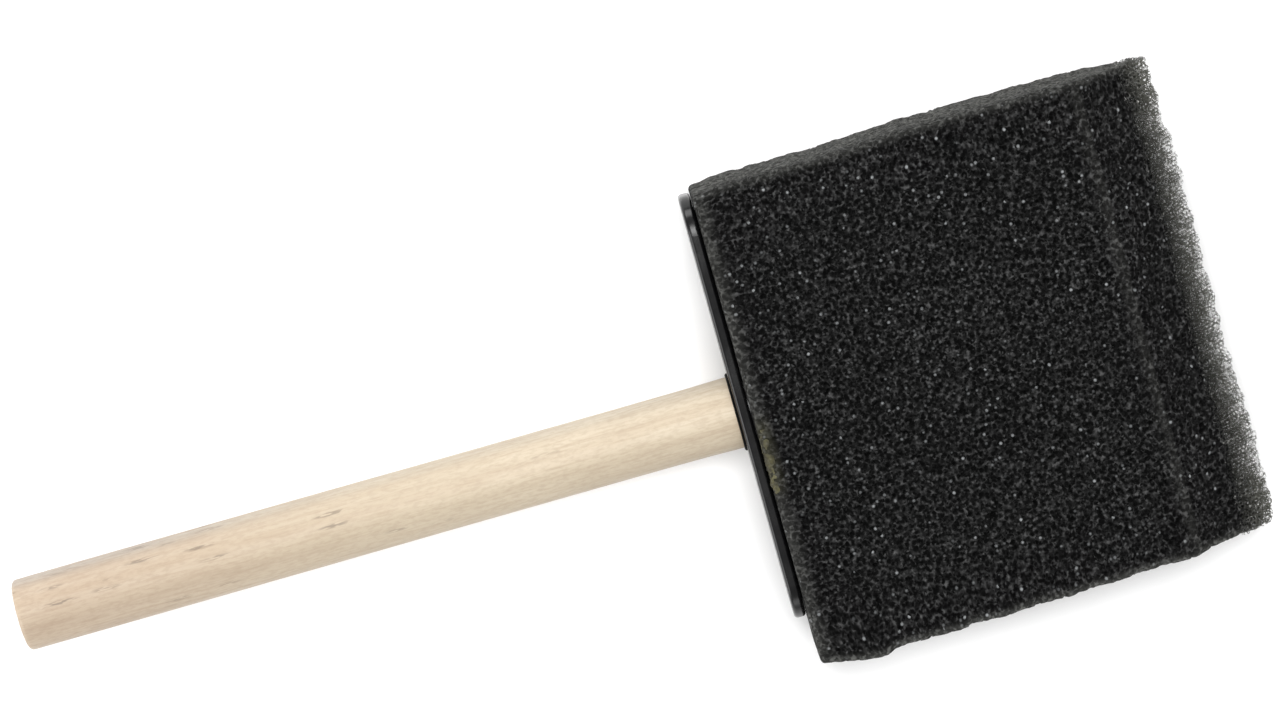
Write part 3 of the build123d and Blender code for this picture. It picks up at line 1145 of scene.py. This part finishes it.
# %% [markdown]
# **The adhesive** has dried to an olive amber, slightly glossy and uneven as a brushed-on coat is. The
# films inside the foam keep their modelled shape.

# %% Material: dried adhesive
glue, tree, shader = material("dried_adhesive")
coat = use(mottle, object_place(tree), Patch_Size=0.0025, Contrast=1.6)
tone = blend(ramp(coat["Tone"], 0.25, 0.75), (0.018, 0.016, 0.008), (0.075, 0.069, 0.030))
plug(
    shader, Base_Color=tone, Roughness=ramp(coat["Fine"], 0.3, 0.7, 0.45, 0.7), Specular_IOR_Level=0.3,
    Normal=bumped(coat["Fine"], 0.5, 0.1 * MM),
)
for name in ("glue_film_upper", "glue_film_lower"):
    paint_with(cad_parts[name].data, glue)
print("material:", glue.name)

# %% [markdown]
# When the core was pushed in, some adhesive came out beside the handle and was smeared over the foam's
# rounded back edge. It starts as a flat grid that is bent over that edge: its first direction runs
# across the head, and its second from the top face round the edge and down the back. Noise makes it
# thick and thin, and where it is thinnest it dips below the foam. It settles with the foam that it
# lies on, and gets a second wall inside it.

# %% Piece: the smear of adhesive
smear_low, smear_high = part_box("glue_squeeze_out")
GRID = (96, 36)  # squares across the head, and over the edge
OVER_TOP = 0.15 * MM  # how far it reaches onto the top face
DOWN_BACK = 1.0 * MM  # and down the back
THICKEST = 0.22 * MM
SOAKED = 0.2 * MM  # how far its rim and its underside lie in the foam
FAR_END = 0.8  # how much of its thickness it loses towards the end beside the handle
quarter = BACK_ROUNDING * math.pi / 2


def round_the_edge(way):
    """A point on the block's back edge and its outward direction, a way from where the top face ends."""
    turn = min(max(way / BACK_ROUNDING, 0), math.pi / 2)
    outward = Vector((-math.sin(turn), 0, math.cos(turn)))
    middle = Vector((x_back + BACK_ROUNDING, 0, foam_high.z - BACK_ROUNDING))
    point = middle + outward * BACK_ROUNDING
    point.x -= min(way, 0)
    point.z -= max(way - quarter, 0)
    return point, outward


def smear_thickness(across, down):
    """How thick the smear is, with both directions given from 0 to 1."""
    ends = ease(across, 0, 0.25) * (1 - ease(across, 0.55, 1.0) * FAR_END)
    rim = ease(down, 0, 0.3) * (1 - ease(down, 0.7, 1))
    lumps = noise.noise(Vector((across * 9, down * 2.5, 3.0)))
    lumps += 0.5 * noise.noise(Vector((across * 27, down * 6, 7.0)))
    return (THICKEST + SOAKED) * ends * rim * min(max(0.6 + 0.9 * lumps, 0), 1) - SOAKED


def smear_grid():
    """The bent grid, not yet a solid."""
    build = bmesh.new()
    bmesh.ops.create_grid(build, x_segments=GRID[0], y_segments=GRID[1], size=0.5)
    whole = OVER_TOP + quarter + DOWN_BACK
    for vertex in build.verts:
        across, down = vertex.co.x + 0.5, vertex.co.y + 0.5
        point, outward = round_the_edge(down * whole - OVER_TOP)
        place = point + outward * smear_thickness(across, down)
        vertex.co = (place.x, smear_low.y + across * (smear_high.y - smear_low.y), place.z)
    face_outward(build)
    if sum(face.normal.z for face in build.faces) < 0:
        bmesh.ops.reverse_faces(build, faces=build.faces[:])
    return build


smear_mesh = mesh_from(smear_grid(), "glue_smear")
settle(smear_mesh)
smear_holder = put("glue_smear_grid", smear_mesh)
second_wall = smear_holder.modifiers.new("wall", "SOLIDIFY")
second_wall.thickness, second_wall.offset = SOAKED, -1.0
smear_mesh = evaluated(smear_holder)
smear_mesh.shade_smooth()
smear_piece = finish_mesh("glue_smear", smear_mesh, glue)
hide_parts("glue_squeeze_out")
print("smear faces:", len(smear_mesh.polygons))
